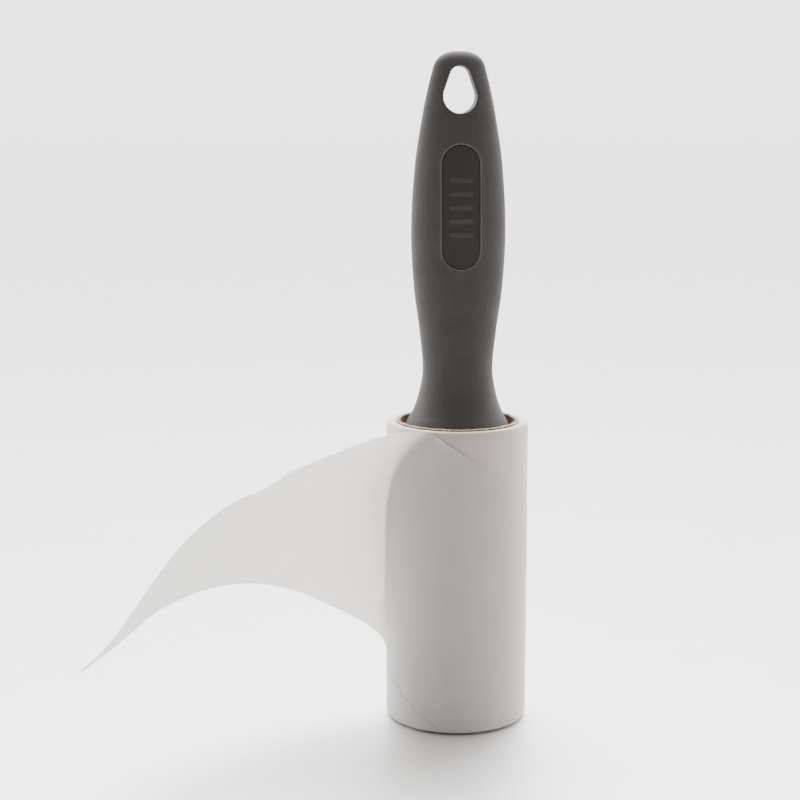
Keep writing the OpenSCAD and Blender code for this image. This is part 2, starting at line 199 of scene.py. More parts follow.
def kraft(name, wall):
    """Unbleached board: long fibres round the core, dark specks, and a spiral seam on its wall, whose tones
    are painted shade, far darker than the cut ends'.
    """
    paint = Paint(name, (0.34, 0.22, 0.13), 0.86, Specular_IOR_Level=0.22)
    cloud = paint.noise(260, 5, 0.6)
    # Painted shade: the wall's tones are far darker than the cut ends' tones below, for the bore's inside
    # lying in shadow.
    tones = ((0.10, 0.062, 0.03), (0.15, 0.10, 0.05), (0.20, 0.135, 0.075))
    if not wall:
        tones = ((0.40, 0.32, 0.22), (0.54, 0.45, 0.34), (0.64, 0.56, 0.45))
    base = paint.ramp(cloud, (0.25, tones[0]), (0.55, tones[1]), (0.8, tones[2]))
    fibre = paint.noise(900, 4, 0.7, paint.stretched(1, 1, 3.2), 1.2)
    toned = paint.mix(0.5, base, paint.ramp(fibre, (0.3, 0.7), (0.7, 1.15)), "MULTIPLY")
    cut = 0.0 if wall else 0.05
    specks = paint.ramp(paint.noise(1300, 1.5, 0.5), (0.29 + cut, 1.0), (0.34 + cut, 0.0))
    toned = paint.mix(specks, toned, (0.085, 0.05, 0.03))
    if not wall:
        rim = paint.ramp(paint.math("MULTIPLY", paint.radius(), 40), (0.780, 1.0), (0.800, 0.0))
        torn = paint.ramp(paint.noise(900, 2), (0.48, 0.9), (0.58, 0.15))
        toned = paint.mix(paint.math("MULTIPLY", rim, torn), toned, (0.07, 0.045, 0.03))
    if wall:
        x, y, z = paint.axes()
        turn = paint.math("MULTIPLY", paint.math("ARCTAN2", y, x), 0.058 / (2 * math.pi))
        along = paint.math("FRACT", paint.math("MULTIPLY", paint.math("ADD", z, turn), 1 / 0.058))
        seam = paint.ramp(along, (0.0, 1.0), (0.012, 0.0), (0.988, 0.0), (1.0, 1.0))
        toned = paint.mix(seam, toned, (0.12, 0.075, 0.045))
        paint.bump(seam, -0.25)
    paint.color(toned)
    paint.bump(fibre, 0.09)
    paint.bump(paint.noise(3000, 3, 0.7), 0.05)
    return paint.material


def paper(name, warm, roughness, coat, depth_mm, wound=None):
    """Thin coated paper: soft cloudiness of the fibres under a faintly uneven adhesive coat. Where it lies
    on the roll it takes the tone wound, painted shade that makes it darker than the same paper off the
    roll, and it is painted lighter towards its left side, painted light falling on it from that side."""
    paint = Paint(
        name, warm, roughness, Specular_IOR_Level=0.4, Coat_Weight=coat, Coat_Roughness=0.42,
        Subsurface_Weight=1.0, Subsurface_Scale=depth_mm / 1000, Subsurface_Radius=(1.0, 0.95, 0.88),
    )
    cloud = paint.noise(120, 5, 0.62)
    fine = paint.noise(1500, 3, 0.6)
    darker = tuple(c * 0.93 for c in warm)
    tone = paint.ramp(cloud, (0.3, darker), (0.68, warm))
    if wound is not None:
        # Painted shade: on the roll the paper takes the darker tone wound, and off it its own tone.
        off_roll = paint.ramp(paint.math("MULTIPLY", paint.radius(), 20), (0.485, 0.0), (0.60, 1.0))
        # Painted light: the wound part is painted lighter towards its left side, where light falls on it.
        leftwards = paint.math("MULTIPLY", paint.axes()[0], -40)
        left_painted_light = paint.ramp(leftwards, (0.2, 0.0), (0.66, 0.28), (0.96, 0.75))
        shaded_on_roll = paint.ramp(cloud, (0.3, tuple(c * 0.95 for c in wound)), (0.68, wound))
        shaded_on_roll = paint.mix(left_painted_light, shaded_on_roll, (0.86, 0.775, 0.70))
        tone = paint.mix(off_roll, shaded_on_roll, tone)
    paint.color(paint.mix(0.35, tone, paint.ramp(fine, (0.3, 0.9), (0.7, 1.05)), "MULTIPLY"))
    paint.roughness(paint.ramp(paint.noise(300, 4), (0.3, roughness - 0.07), (0.7, roughness + 0.07)))
    paint.bump(paint.noise(700, 4, 0.6), 0.035)
    paint.bump(paint.noise(90, 2, 0.5), 0.1)
    return paint.material


def layered(name):
    """The wound sheets' edges: fine uneven rings, one for each layer or so."""
    paint = Paint(name, (0.74, 0.73, 0.70), 0.72, Specular_IOR_Level=0.3)
    rings = paint.nodes.new("ShaderNodeCombineXYZ")
    paint.links.new(paint.radius(), rings.inputs["X"])
    coarse = paint.noise(5200, 2, 0.6, rings.outputs["Vector"])
    fine = paint.noise(14000, 2, 0.6, rings.outputs["Vector"])
    tones = ((0.64, 0.62, 0.59), (0.82, 0.81, 0.78), (0.90, 0.89, 0.87))
    tone = paint.ramp(coarse, (0.30, tones[0]), (0.52, tones[1]), (0.75, tones[2]))
    paint.color(paint.mix(0.5, tone, paint.ramp(fine, (0.3, 0.78), (0.7, 1.08)), "MULTIPLY"))
    paint.bump(coarse, 0.12)
    paint.bump(paint.noise(900, 4), 0.05)
    return paint.material


def plated(name):
    """Zinc-plated steel with fine turning marks round its axis."""
    paint = Paint(name, (0.62, 0.62, 0.63), 0.32, Metallic=1.0)
    rings = paint.nodes.new("ShaderNodeCombineXYZ")
    paint.links.new(paint.radius(), rings.inputs["X"])
    marks = paint.noise(9000, 2, 0.6, rings.outputs["Vector"])
    paint.color(paint.ramp(paint.noise(400, 3), (0.3, (0.50, 0.50, 0.52)), (0.7, (0.68, 0.68, 0.67))))
    paint.roughness(paint.ramp(marks, (0.3, 0.24), (0.7, 0.42)))
    paint.bump(marks, 0.02)
    return paint.material


GREY = moulded("handle_plastic", (0.054, 0.049, 0.046), (0.066, 0.060, 0.057), 0.62, 0.03)
BAR_GREY = moulded("badge_bar_plastic", (0.052, 0.048, 0.045), (0.063, 0.058, 0.055), 0.62, 0.03)
# Painted highlight: the bead round the badge recess is the handle plastic painted lighter, for the light
# its rim catches.
BEAD_PAINTED_HIGHLIGHT = moulded("badge_bead_painted_highlight", (0.12, 0.113, 0.107), (0.14, 0.132, 0.126), 0.55, 0.02)
BADGE_GREY = moulded("badge_plastic", (0.035, 0.032, 0.031), (0.042, 0.039, 0.037), 0.60, 0.03)
NYLON = moulded("nylon", (0.66, 0.65, 0.61), (0.76, 0.75, 0.71), 0.46, 0.03)
CAP_GREY = moulded("cap_plastic", (0.046, 0.044, 0.042), (0.056, 0.054, 0.051), 0.48, 0.05)
# Painted shade: the wall is the same board as the cut ends, painted far darker.
KRAFT_WALL_PAINTED_SHADE = kraft("kraft_wall_painted_shade", True)
KRAFT_EDGE = kraft("kraft_edge", False)
# Painted shade: the darker tone of the paper where it lies on the roll's front, for the top sheet on the
# roll and for the next sheet.
WOUND_PAINTED_SHADE = (0.66, 0.59, 0.53)
PAPER_TOP = paper("paper_top_sheet", (0.86, 0.843, 0.81), 0.52, 0.18, 0.28, WOUND_PAINTED_SHADE)
PAPER_NEXT = paper("paper_next_sheet", WOUND_PAINTED_SHADE, 0.46, 0.3, 0.06)
# Painted shadow: a darker tone for the narrow strip beside the sheet's cuts.
PAPER_CUT_SHADOW = paper("paper_cut_shadow", (0.47, 0.42, 0.375), 0.6, 0.1, 0.06)
EDGES = layered("sheet_edges")
STEEL = plated("zinc_plated_steel")

# ---------- mesh helpers ----------


def piece(name, points, faces, materials, sharp=40.0, material_of=None):
    """A mesh object from points in millimetres. material_of gives each face's material number."""
    mesh = bpy.data.meshes.new(name)
    mesh.from_pydata([tuple(p) for p in np.asarray(points) / 1000], [], faces)
    for material in materials:
        mesh.materials.append(material)
    if material_of is not None:
        mesh.polygons.foreach_set("material_index", material_of)
    mesh.polygons.foreach_set("use_smooth", [True] * len(mesh.polygons))
    made = bpy.data.objects.new(name, mesh)
    bpy.context.scene.collection.objects.link(made)
    edit = bmesh.new()
    edit.from_mesh(mesh)
    bmesh.ops.remove_doubles(edit, verts=edit.verts, dist=2e-6)
    bmesh.ops.recalc_face_normals(edit, faces=edit.faces)
    edit.to_mesh(mesh)
    edit.free()
    mesh.set_sharp_from_angle(angle=math.radians(sharp))
    return made


def inside(polygon, points):
    """Which of the points lie inside a closed 2D polygon."""
    x, y = points[:, 0], points[:, 1]
    result = np.zeros(len(points), bool)
    for (x0, y0), (x1, y1) in zip(polygon, np.roll(polygon, -1, axis=0)):
        crosses = (y0 > y) != (y1 > y)
        with np.errstate(divide="ignore", invalid="ignore"):
            result ^= crosses & (x < (x1 - x0) * (y - y0) / (y1 - y0) + x0)
    return result


def triangulated(points, loops):
    """Triangles over all 2D points, keeping the edges of the given loops of point numbers."""
    edges = [(loop[k], loop[(k + 1) % len(loop)]) for loop in loops for k in range(len(loop))]
    made = geometry.delaunay_2d_cdt([Vector(p) for p in points], edges, [], 0, 1e-9)
    places = np.array([tuple(p) for p in made[0]])
    return places, [tuple(f) for f in made[2]], made[3]


class Skin:
    """Points and faces that grow row by row."""

    def __init__(self, points, faces):
        self.rows = [points]
        self.faces = faces
        self.total = len(points)

    def join(self, row, level, closed=True):
        """Adds the points in level and the quads from the row of point numbers to them."""
        n = len(row)
        new = list(range(self.total, self.total + n))
        ends = range(n if closed else n - 1)
        self.faces += [(row[k], row[(k + 1) % n], new[(k + 1) % n], new[k]) for k in ends]
        self.rows.append(level)
        self.total += n
        return new

    def points(self):
        return np.concatenate(self.rows)


def numbers_of(origins):
    """From each given point's number to its number in a triangulation."""
    return {given: k for k, found in enumerate(origins) for given in found}


# ---------- handle ----------


def slopes(column):
    """The outline's slope at each station."""
    z, w = STATIONS[:, 0], STATIONS[:, column]
    numbers = np.arange(len(z))
    before, after = np.maximum(numbers - 1, 0), np.minimum(numbers + 1, len(z) - 1)
    return (w[after] - w[before]) / (z[after] - z[before])


SLOPES = {1: slopes(1), 2: slopes(2)}
TOP_Z = STATIONS[-1, 0]
CAP_RUN = 12.0


def width_at(z, column):
    """Half-width or half-depth of the body at heights z up to the last station."""
    i = np.clip(np.searchsorted(STATIONS[:, 0], z, side="right") - 1, 0, len(STATIONS) - 2)
    low, high = STATIONS[i], STATIONS[i + 1]
    h = high[:, 0] - low[:, 0]
    u = (z - low[:, 0]) / h
    return (
        low[:, column] * (1 + 2 * u) * (1 - u) ** 2 + high[:, column] * u * u * (3 - 2 * u)
        + h * (SLOPES[column][i] * u * (1 - u) ** 2 - SLOPES[column][i + 1] * u * u * (1 - u))
    )


def ring_at(q):
    """Height, half-width and half-depth at run q, which is the height below the crown."""
    cap = np.radians(np.clip((q - TOP_Z) / CAP_RUN, 0, 1) * 90)
    body = np.minimum(q, TOP_Z)
    rise = (HANDLE_TOP - TOP_Z) * np.sin(cap) ** (2 / CROWN_POWER)
    shrink = np.abs(np.cos(cap)) ** (2 / CROWN_POWER)
    w, d = (width_at(body, c) + SLOPES[c][-1] * rise for c in (1, 2))
    return body + rise, w * shrink, d * shrink


def on_handle(a, q, side):
    """Surface point at a degrees round the half section and run q. Side -1 is the front."""
    z, w, d = ring_at(q)
    c, s = np.cos(np.radians(a)), np.abs(np.sin(np.radians(a)))
    x = w * np.sign(c) * np.abs(c) ** (2 / POWER)
    return np.stack([x, side * d * s ** (2 / POWER), z], axis=1)


def to_surface(x, z):
    """The a and q of the surface points straight in front of the flat outline points x, z."""
    share = np.clip((z - TOP_Z) / (HANDLE_TOP - TOP_Z), 0, 1)
    q = np.where(z <= TOP_Z, z, TOP_Z + CAP_RUN / 90 * np.degrees(np.arcsin(share ** (CROWN_POWER / 2))))
    share = np.clip(x / ring_at(q)[1], -1, 1)
    return np.degrees(np.arccos(np.sign(share) * np.abs(share) ** (POWER / 2))), q


def drop_outline(grow, count=72):
    """The hang hole's outline, moved outwards by grow."""
    lean = math.asin((HANG_R - HANG_TOP_R) / HANG_RISE)
    low_turns = np.linspace(math.pi - lean, 2 * math.pi + lean, int(count * 0.6))
    top_turns = np.linspace(lean, math.pi - lean, int(count * 0.3))
    low_r, top_r = HANG_R + grow, HANG_TOP_R + grow
    top_z = HANG_Z + HANG_RISE
    low = np.stack([low_r * np.cos(low_turns), HANG_Z + low_r * np.sin(low_turns)], axis=1)
    top = np.stack([top_r * np.cos(top_turns), top_z + top_r * np.sin(top_turns)], axis=1)
    fill = np.linspace(0, 1, 5)[1:-1, None]
    right = low[-1] + fill * (top[0] - low[-1])
    left = top[-1] + fill * (low[0] - top[-1])
    return np.concatenate([low, right, top, left])


def oval_outline(width, length, grow, count=16):
    """The badge's outline round its centre, moved outwards by grow."""
    r = width / 2 + grow
    half = (length - width) / 2
    over = np.linspace(0, math.pi, count + 1)
    top = np.stack([r * np.cos(over), BADGE_Z + half + r * np.sin(over)], axis=1)
    low = np.stack([-r * np.cos(over), BADGE_Z - half - r * np.sin(over)], axis=1)
    fill = np.linspace(0, 1, 24)[1:-1, None]
    left = top[-1] + fill * (low[0] - top[-1])
    right = low[-1] + fill * (top[0] - low[-1])
    return np.concatenate([top, left, low, right])


def floor_y(z):
    """The badge recess's gently curved floor."""
    return -(np.sqrt(FLOOR_R**2 - (z - FLOOR_PEAK_Z) ** 2) - (FLOOR_R - FLOOR_PEAK_Y))


# The shell is triangulated flat: x is the angle round the half section, scaled, and y is the run.
ANGLE_SCALE = 20 / 90
EDGE_ANGLES = [0, 0.35, 0.8, 1.4, 2.3, 3.6, 5.4]
ANGLES = np.array(EDGE_ANGLES + list(np.linspace(8, 172, 60)) + [180 - a for a in reversed(EDGE_ANGLES)])
RUNS = np.concatenate([
    np.linspace(BELL_Z + 0.35, 112, 16)[:-1], np.linspace(112, 204, 62)[:-1],
    np.linspace(204, TOP_Z, 15)[:-1], TOP_Z + CAP_RUN * np.linspace(0, 1, 20) ** 0.9,
])
RIM_STEPS, RIM_FULL, BEAD_STEPS = [0, 0.12, 0.3, 0.55, 0.85, 1.25], 0.85, 0.9
RIM_BAND = 1.9
WALL_SHARES = (0.04, 0.5, 1.0)
PART_LINE_DEPTH, PART_LINE_HALF = 0.16, 0.42
BELL_END = ((0.1, BELL_Z + 0.1), (0.35, BELL_Z), (8, BELL_Z), (14.3, BELL_Z))
HANG_RIM_R, BADGE_RIM_R = 0.8, 0.4


def bead_drop(grow, radius):
    """The badge recess's rim: a low bead that stands a little proud and then falls to the wall."""
    fall = 0.12 * np.clip(1 - grow / 0.12, 0, 1) ** 2
    bead = 0.11 * np.sin(math.pi * np.clip(grow / (radius + 0.15), 0, 1)) ** 2
    return fall - bead


def rim_drop(grow, radius):
    """How far a rounded rim has fallen at grow outside the opening's wall."""
    share = np.clip(1 - grow / radius, 0, 1)
    return radius * (1 - np.sqrt(1 - share**2))


def flattened(outline):
    """Outline points x, z on the flat sheet that the shell is triangulated on."""
    a, q = to_surface(outline[:, 0], outline[:, 1])
    return np.stack([(a - 90) * ANGLE_SCALE, q], axis=1)


def rims_of(openings):
    """The rows of flat points on the openings' rims, with their fall, the ones on a bead, and the
    innermost row of each opening as a loop of point numbers."""
    rows, falls, on_bead, loops = [], [], [], []
    for outline, radius, rim, _ in openings:
        for step in RIM_STEPS:
            grow = step * radius / RIM_FULL
            row = flattened(outline(grow))
            if step == 0:
                start = sum(len(r) for r in rows)
                loops.append(list(range(start, start + len(row))))
            rows.append(row)
            falls.append(np.full(len(row), rim(grow, radius)))
            on_bead.append(np.full(len(row), rim is bead_drop and step < BEAD_STEPS))
    return np.concatenate(rows), np.concatenate(falls), np.concatenate(on_bead), loops


def cut_part_line(solid):
    """The fine groove where the two shells meet."""
    groove = PART_LINE_DEPTH * np.clip(1 - np.abs(solid[:, 1]) / PART_LINE_HALF, 0, 1) ** 1.5
    radial = np.linalg.norm(solid[:, :2], axis=1)
    shrink = np.where(radial > 1, 1 - groove / np.maximum(radial, 1), 1)
    solid[:, :2] *= shrink[:, None]


def shell(name, side, openings):
    """One handle shell's outer skin. An opening is its outline function, its rim's radius and shape,
    and the function for how deep its wall goes."""
    a, q = [g.ravel() for g in np.meshgrid(ANGLES, RUNS)]
    base = np.stack([(a - 90) * ANGLE_SCALE, q], axis=1)
    for opening in openings:
        base = base[~inside(flattened(opening[0](RIM_BAND)), base)]
    rims, falls, on_bead, loops = rims_of(openings)
    falls = np.append(falls, np.zeros(len(base)))
    on_bead = np.append(on_bead, np.zeros(len(base), bool))
    places, triangles, origins = triangulated(np.concatenate([rims, base]), loops)
    middles = np.array([places[list(t)].mean(0) for t in triangles])
    is_open = np.zeros(len(triangles), bool)
    for loop in loops:
        is_open |= inside(rims[loop], middles)
    fall = np.array([falls[found[0]] if found else 0.0 for found in origins])
    bead = np.array([bool(found) and on_bead[found[0]] for found in origins])
    solid = on_handle(places[:, 0] / ANGLE_SCALE + 90, places[:, 1], side)
    cut_part_line(solid)
    solid[:, 1] -= side * fall
    skin = Skin(solid, [t for t, gone in zip(triangles, is_open) if not gone])
    # Faces on the bead take the lighter material, a painted highlight along the recess's rim.
    kinds = [int(bead[list(t)].all()) for t in skin.faces]
    number = numbers_of(origins)
    for opening, loop in zip(openings, loops):
        row = [number[given] for given in loop]
        rim = solid[row]
        wall_end = opening[3](rim[:, 2])
        for share in WALL_SHARES:
            level = rim.copy()
            level[:, 1] = rim[:, 1] + share * (wall_end - rim[:, 1])
            row = skin.join(row, level)
    lowest = [k for k in range(len(places)) if abs(places[k, 1] - RUNS[0]) < 1e-4]
    row = sorted(lowest, key=lambda k: places[k, 0])
    start = solid[row]
    radial = np.linalg.norm(start[:, :2], axis=1)
    for inset, z in BELL_END:
        level = start.copy()
        level[:, :2] *= ((radial - inset) / radial)[:, None]
        level[:, 2] = z
        row = skin.join(row, level, closed=False)
    kinds += [0] * (len(skin.faces) - len(kinds))
    return piece(name, skin.points(), skin.faces, [GREY, BEAD_PAINTED_HIGHLIGHT], 50, kinds)


def to_middle(z):
    """The hang hole's wall ends in the plane where the shells meet."""
    return np.zeros_like(z)


def badge_edge(grow):
    """The recess's outline, moved outwards by grow."""
    return oval_outline(BADGE_W, BADGE_L, grow)


hang_hole = (drop_outline, HANG_RIM_R, rim_drop, to_middle)
recess = (badge_edge, BADGE_RIM_R, bead_drop, floor_y)
front = shell("handle_front", -1, [hang_hole, recess])
rear = shell("handle_rear", 1, [hang_hole])
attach(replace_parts(front, "handle_front_shell"), "handle")
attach(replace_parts(rear, "handle_rear_shell"), "handle")


PLATE_GAP, PLATE_RIM_R = 0.02, 0.1
PLATE_STEPS = (0, 0.05, 0.12, 0.22, 0.35)
BARS, BAR_PITCH, BAR_HALF, BAR_R, BAR_SOFT = 5, 4.4, 3.0, 0.75, 0.45


def bar_share(x, z):
    """How far the grip bars stand at x, z: 1 on a bar, 0 off it, with a soft edge between."""
    share = np.zeros(len(x))
    for k in range(BARS):
        off_middle = np.abs(z - (BADGE_Z + (k - BARS // 2) * BAR_PITCH))
        far = np.hypot(np.maximum(np.abs(x) - BAR_HALF, 0), off_middle) - BAR_R
        rise = np.clip(0.5 - far / BAR_SOFT, 0, 1)
        share = np.maximum(share, rise * rise * (3 - 2 * rise))
    return share


def badge():
    """The oval plate in its recess, with rounded grip bars across its middle."""
    width, length = BADGE_W - 2 * PLATE_GAP, BADGE_L - 2 * PLATE_GAP
    rings = [oval_outline(width, length, -step) for step in PLATE_STEPS]
    across, up = np.arange(-5.8, 5.81, 0.29), np.arange(BADGE_Z - 20, BADGE_Z + 20.01, 0.2)
    x, z = [g.ravel() for g in np.meshgrid(across, up)]
    grid = np.stack([x, z], axis=1)
    grid = grid[inside(oval_outline(width, length, -0.5), grid)]
    n = len(rings[0])
    loop = list(range(n))
    places, triangles, origins = triangulated(np.concatenate(rings + [grid]), [loop])
    middles = np.array([places[list(t)].mean(0) for t in triangles])
    kept = inside(rings[0], middles)
    steps = np.concatenate([np.full(n, step) for step in PLATE_STEPS] + [np.full(len(grid), 1.0)])
    edge = np.array([min((steps[given] for given in found), default=1.0) for found in origins])
    bar = bar_share(places[:, 0], places[:, 1])
    drop = BADGE_DROP + rim_drop(edge, PLATE_RIM_R)
    drop -= (BADGE_DROP - BAR_DROP) * bar
    a, q = to_surface(places[:, 0], places[:, 1])
    solid = on_handle(a, q, -1)
    solid[:, 1] += drop
    skin = Skin(solid, [t for t, ok in zip(triangles, kept) if ok])
    kinds = [int(bar[list(t)].mean() > 0.55) for t in skin.faces]
    number = numbers_of(origins)
    row = [number[given] for given in loop]
    low = solid[row].copy()
    low[:, 1] = floor_y(low[:, 2])
    skin.faces.append(tuple(skin.join(row, low)))
    kinds += [0] * (n + 1)
    return piece("badge", skin.points(), skin.faces, [BADGE_GREY, BAR_GREY], 60, kinds)


plate = badge()
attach(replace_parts(plate, "badge_plate"), "handle")

# ---------- refill ----------


def lathe(name, profile, materials, parts=None, count=192, wobble=None):
    """A ring turned from a closed profile of (radius, height). parts gives each profile side's
    material number, which is 0 where it isn't given."""
    turns = np.linspace(0, 2 * math.pi, count, endpoint=False)
    n = len(profile)
    points = np.array([[r * math.cos(t), r * math.sin(t), z] for t in turns for r, z in profile])
    if wobble is not None:
        points += wobble(points)
    faces, kinds = [], []
    for j in range(count):
        for k in range(n):
            a, b = j * n + k, j * n + (k + 1) % n
            c, d = ((j + 1) % count) * n + (k + 1) % n, ((j + 1) % count) * n + k
            faces.append((a, b, c, d))
            kinds.append(parts[k] if parts else 0)
    return piece(name, points, faces, materials, 35, kinds)


def ragged(amount):
    """The small uneven height of a cut board edge, from waves round it."""
    rng = np.random.default_rng(7)
    waves = 24
    phases = rng.uniform(0, 2 * math.pi, (waves, 2))[:, 0]
    strengths = rng.uniform(0.3, 1, waves)

    def wobble(points):
        turn = np.arctan2(points[:, 1], points[:, 0])
        radius = np.linalg.norm(points[:, :2], axis=1)
        rise = np.abs(sum(
            strength * np.sin((3 + 4 * k) * turn + phase + radius * 2.1 * (k % 5))
            for k, (strength, phase) in enumerate(zip(strengths, phases))
        ))
        at_top = points[:, 2] > CORE_L - 0.6
        at_foot = points[:, 2] < 0.6
        shift = np.zeros_like(points)
        shift[:, 2] = np.where(at_top, -rise * amount / 6, np.where(at_foot, rise * amount / 9, 0))
        return shift

    return wobble


def ply(name, inner, outer, node):
    """One of the core's two kraft plies, with rounded and uneven ends."""
    round_off = 0.12
    profile = [
        (inner, 0.15), (inner, 30), (inner, 60), (inner, CORE_L - round_off), (inner + round_off, CORE_L),
        ((inner + outer) / 2, CORE_L - 0.02), (outer - round_off, CORE_L), (outer, CORE_L - round_off),
        (outer, 50), (outer, 0.15), (outer - round_off, 0), (inner + round_off, 0),
    ]
    parts = [0, 0, 0, 1, 1, 1, 1, 0, 0, 1, 1, 1]
    made = lathe(name, profile, [KRAFT_WALL_PAINTED_SHADE, KRAFT_EDGE], parts, 240, ragged(0.25))
    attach(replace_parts(made, node), "refill")


TOP_TUCK, TOP_TUCK_RUN, FOOT_TUCK, FOOT_TUCK_RUN = 0.55, 2.4, 0.3, 1.6


def tuck(z):
    """How far the outer sheets are squeezed in at the roll's two ends."""
    high = np.clip((z - (SHEET_HIGH - TOP_TUCK_RUN)) / TOP_TUCK_RUN, 0, 1)
    low = np.clip((SHEET_LOW + FOOT_TUCK_RUN - z) / FOOT_TUCK_RUN, 0, 1)
    return TOP_TUCK * high**2 + FOOT_TUCK * low**2


inner_r = CORE_R + PLY_T
outer_r = inner_r + GLUE_GAP + PLY_T
ply("core_inner", CORE_R, inner_r, "core_inner_ply")
ply("core_outer", inner_r + GLUE_GAP, outer_r, "core_outer_ply")

next_in = ROLL_R - 2 * WEB_T - WRAP_GAP
stack_in, stack_out = outer_r + GLUE_GAP, next_in - GLUE_GAP
top_out, low_out = stack_out - tuck(SHEET_HIGH) - 0.02, stack_out - tuck(SHEET_LOW) - 0.02
end_rings = np.linspace(stack_in + 0.15, top_out - 0.15, 11)
wound = lathe(
    "sheet_stack_wound",
    [(stack_in, SHEET_LOW), (stack_in, SHEET_HIGH)]
    + [(r, SHEET_HIGH + (0.05 if k % 2 else -0.04)) for k, r in enumerate(end_rings)]
    + [(top_out, SHEET_HIGH), (stack_out - 0.2, SHEET_HIGH - 1.2), (stack_out - 0.02, SHEET_HIGH - 3)]
    + [(stack_out - 0.02, SHEET_LOW + 2), (low_out, SHEET_LOW)],
    [EDGES],
)
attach(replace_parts(wound, "sheet_stack"), "refill")
levels = np.concatenate([
    SHEET_LOW + np.linspace(0, FOOT_TUCK_RUN, 5), np.linspace(8, 94, 8),
    SHEET_HIGH - TOP_TUCK_RUN + np.linspace(0, TOP_TUCK_RUN, 9),
])
under = lathe(
    "next_sheet_wound",
    [(next_in - tuck(z), z) for z in levels] + [(next_in + WEB_T - tuck(z), z) for z in levels[::-1]],
    [PAPER_NEXT], count=256,
)
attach(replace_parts(under, "next_sheet"), "refill")


def lead_height(turn):
    """Height of the cut that the sheet begins at, at turn degrees from the front."""
    return SHEET_LOW + CUT_DROP * (LEAD_LOW - turn) * PER_DEGREE


def tear_height(turn):
    """Height of the cut that the sheet ends at, where the next one begins."""
    return SHEET_HIGH - CUT_DROP * (turn - TEAR_TOP) * PER_DEGREE


PEEL_Z = lead_height(PEEL_LOW)


def peel_turn(z):
    """Where the sheet leaves the roll at height z."""
    share = np.clip((z - PEEL_Z) / (SHEET_HIGH - PEEL_Z), 0, 1)
    return PEEL_LOW + (TEAR_TOP - PEEL_LOW) * share**PEEL_BOW


def on_roll(turn, r, z):
    """The point at turn degrees from the front, radius r and height z."""
    t = np.radians(turn)
    return np.stack([r * np.sin(t), -r * np.cos(t), z + 0 * t], axis=-1)


def lift_at(i, edge):
    """Station i of the flap's top edge (0) or low edge (1), with one added before and one after."""
    if i < 0:
        return on_roll(TEAR_TOP, ROLL_R, SHEET_HIGH) if edge == 0 else on_roll(PEEL_LOW, ROLL_R, PEEL_Z)
    if i >= len(LIFT):
        return 2 * LIFT[-1, edge] - LIFT[-2, edge]
    return LIFT[i, edge]


def flap_edge(edge, t):
    """A smooth curve through the stations of one edge, t of them along."""
    i = min(len(LIFT) - 2, int(t))
    u = t - i
    a, b, c, d = (lift_at(i + k, edge) for k in (-1, 0, 1, 2))
    return 0.5 * (2 * b + (c - a) * u + (2 * a - 5 * b + 4 * c - d) * u**2 + (3 * b - a - 3 * c + d) * u**3)


CURL_FROM, CURL_R, CURL_AT, CURL_SPREAD = 0.955, 1.1, 1.06, 0.17


def flap_point(t, v):
    """The flap t stations along and v of the way from its low edge to its top edge."""
    return (1 - v) * flap_edge(1, t) + v * flap_edge(0, t)


def curled(t, v):
    """The flap's point, with the short curl that the loose top edge takes part way along."""
    window = math.exp(-(((t - CURL_AT) / CURL_SPREAD) ** 2))
    if window < 0.02 or v <= CURL_FROM:
        return flap_point(t, v)
    along = flap_point(t + 0.01, v) - flap_point(t - 0.01, v)
    across = flap_edge(0, t) - flap_edge(1, t)
    height = np.linalg.norm(across)
    across /= height
    front = np.cross(along, across)
    front *= -np.sign(front[1]) / np.linalg.norm(front)
    radius = CURL_R / window
    turn = (v - CURL_FROM) * height / radius
    return flap_point(t, CURL_FROM) + radius * (math.sin(turn) * across + (1 - math.cos(turn)) * front)


def fold_point(v, u):
    """The free sheet between the peel line, u = 0, and the flap's first station, u = 1."""
    z = PEEL_Z + (SHEET_HIGH - PEEL_Z) * v
    turn = peel_turn(z)
    t = math.radians(turn)
    a = on_roll(turn, SHEET_MID_R - tuck(z), z)
    along = flap_point(0.01, v) - flap_point(0, v)
    along /= np.linalg.norm(along)
    leave = LEAVE_LOW + (LEAVE_HIGH - LEAVE_LOW) * v
    b = a + leave * np.array([-math.cos(t), -math.sin(t), (1 - v) * CUT_DROP])
    d = flap_point(0, v)
    c = d - JOIN_SHARE * np.linalg.norm(d - a) * along
    w = 1 - u
    return w**3 * a + 3 * w * w * u * b + 3 * w * u * u * c + u**3 * d


FOLD_ROWS, CUT_BAND, SHEET_END = 56, 0.35, LEAD_LOW + 358.6
CUT_ROWS = (0.4, 0.9, 1.6)
SHEET_MID_R = ROLL_R - WEB_T / 2
V_ROWS = np.sin(np.linspace(0, math.pi / 2, FOLD_ROWS + 1))


def wound_border():
    """The outline of the part still wound, as degrees and height, from the peel line's foot."""
    peel = [(peel_turn(z), z) for z in PEEL_Z + (SHEET_HIGH - PEEL_Z) * V_ROWS]
    tear = [(t, tear_height(t)) for t in np.linspace(TEAR_TOP + 0.8, PEEL_LOW + 360, 130)]
    under_lead = [(t, lead_height(t - 360) - 0.12) for t in np.linspace(PEEL_LOW + 361, SHEET_END, 40)]
    low = [(t, SHEET_LOW) for t in np.linspace(SHEET_END, LEAD_LOW, 140)]
    lead = [(t, lead_height(t)) for t in np.linspace(LEAD_LOW, PEEL_LOW, 40)[1:-1]]
    return np.array(peel + tear + under_lead + low + lead)


